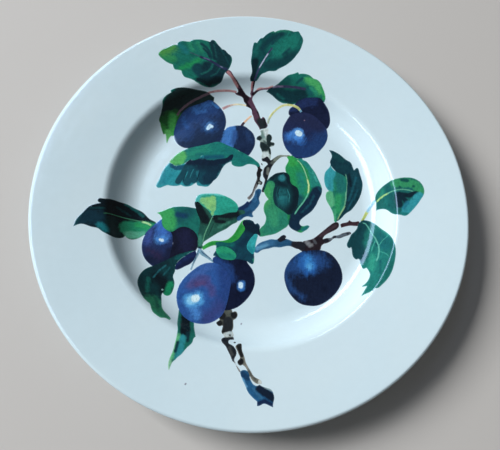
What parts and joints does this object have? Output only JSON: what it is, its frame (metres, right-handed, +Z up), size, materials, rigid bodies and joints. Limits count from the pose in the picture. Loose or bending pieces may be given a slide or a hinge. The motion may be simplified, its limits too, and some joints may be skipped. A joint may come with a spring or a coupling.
{
  "type": "painted dinner plate",
  "caption": "Round dinner plate with a wide sloping rim, a shallow well and a foot ring, glazed and hand painted with a fruiting plum branch.",
  "frame": {"origin": "middle of the foot ring's contact plane, the surface the plate stands on", "axes": "+Z up out of the eating face, +Y towards the top of the painted picture, +X to its right"},
  "size_m": [0.267, 0.267, 0.0225],
  "materials": {
    "fired_clay": "unglazed fired clay, fine and matte, showing only on the foot ring",
    "glaze": "glossy off-white glaze with a cool blue cast, slightly uneven",
    "leaf_paint": "translucent green and teal colour washes under gloss",
    "plum_paint": "navy and bright blue colour washes under gloss",
    "twig_paint": "brown-black and blue broken brushwork under gloss",
    "stalk_paint": "thin strokes, pale olive to red-brown, under gloss"
  },
  "bodies": {
    "root": {"clay_body": "fired_clay", "foot_recess_glaze": "glaze", "glaze_coat": "glaze", "leaf_bottom": "leaf_paint", "leaf_centre_blade": "leaf_paint", "leaf_centre_blot": "leaf_paint", "leaf_centre_lobe": "leaf_paint", "leaf_curled_left": "leaf_paint", "leaf_dark": "leaf_paint", "leaf_far_right": "leaf_paint", "leaf_left": "leaf_paint", "leaf_long_face": "leaf_paint", "leaf_long_underside": "leaf_paint", "leaf_lower_middle": "leaf_paint", "leaf_lower_middle_petal": "leaf_paint", "leaf_lower_middle_strip": "leaf_paint", "leaf_lower_right": "leaf_paint", "leaf_over_left_plum": "leaf_paint", "leaf_ribbon": "leaf_paint", "leaf_top_left": "leaf_paint", "leaf_top_middle": "leaf_paint", "leaf_top_right": "leaf_paint", "leaf_two_tone_face": "leaf_paint", "leaf_two_tone_underside": "leaf_paint", "leaf_upright_left": "leaf_paint", "leaf_upright_right": "leaf_paint", "plum_front": "plum_paint", "plum_front_behind": "plum_paint", "plum_left": "plum_paint", "plum_left_behind": "plum_paint", "plum_left_sliver": "plum_paint", "plum_right": "plum_paint", "plum_right_behind": "plum_paint", "plum_round": "plum_paint", "plum_top_left": "plum_paint", "plum_top_left_behind": "plum_paint", "stalk_far_right": "stalk_paint", "stalk_fork_left": "stalk_paint", "stalk_fork_right": "stalk_paint", "stalk_plum_behind": "stalk_paint", "stalk_plum_right": "stalk_paint", "stalk_plum_top_left": "stalk_paint", "stalk_red": "stalk_paint", "twig_blue_bend": "twig_paint", "twig_blue_branch": "twig_paint", "twig_brown_branch": "twig_paint", "twig_foot_blue": "twig_paint", "twig_foot_knots": "twig_paint", "twig_foot_left_strand": "twig_paint", "twig_foot_right_strand": "twig_paint", "twig_knots": "twig_paint", "twig_left_strand": "twig_paint", "twig_outer_branch": "twig_paint", "twig_right_strand": "twig_paint", "twig_top": "twig_paint"}
  },
  "joints": []
}
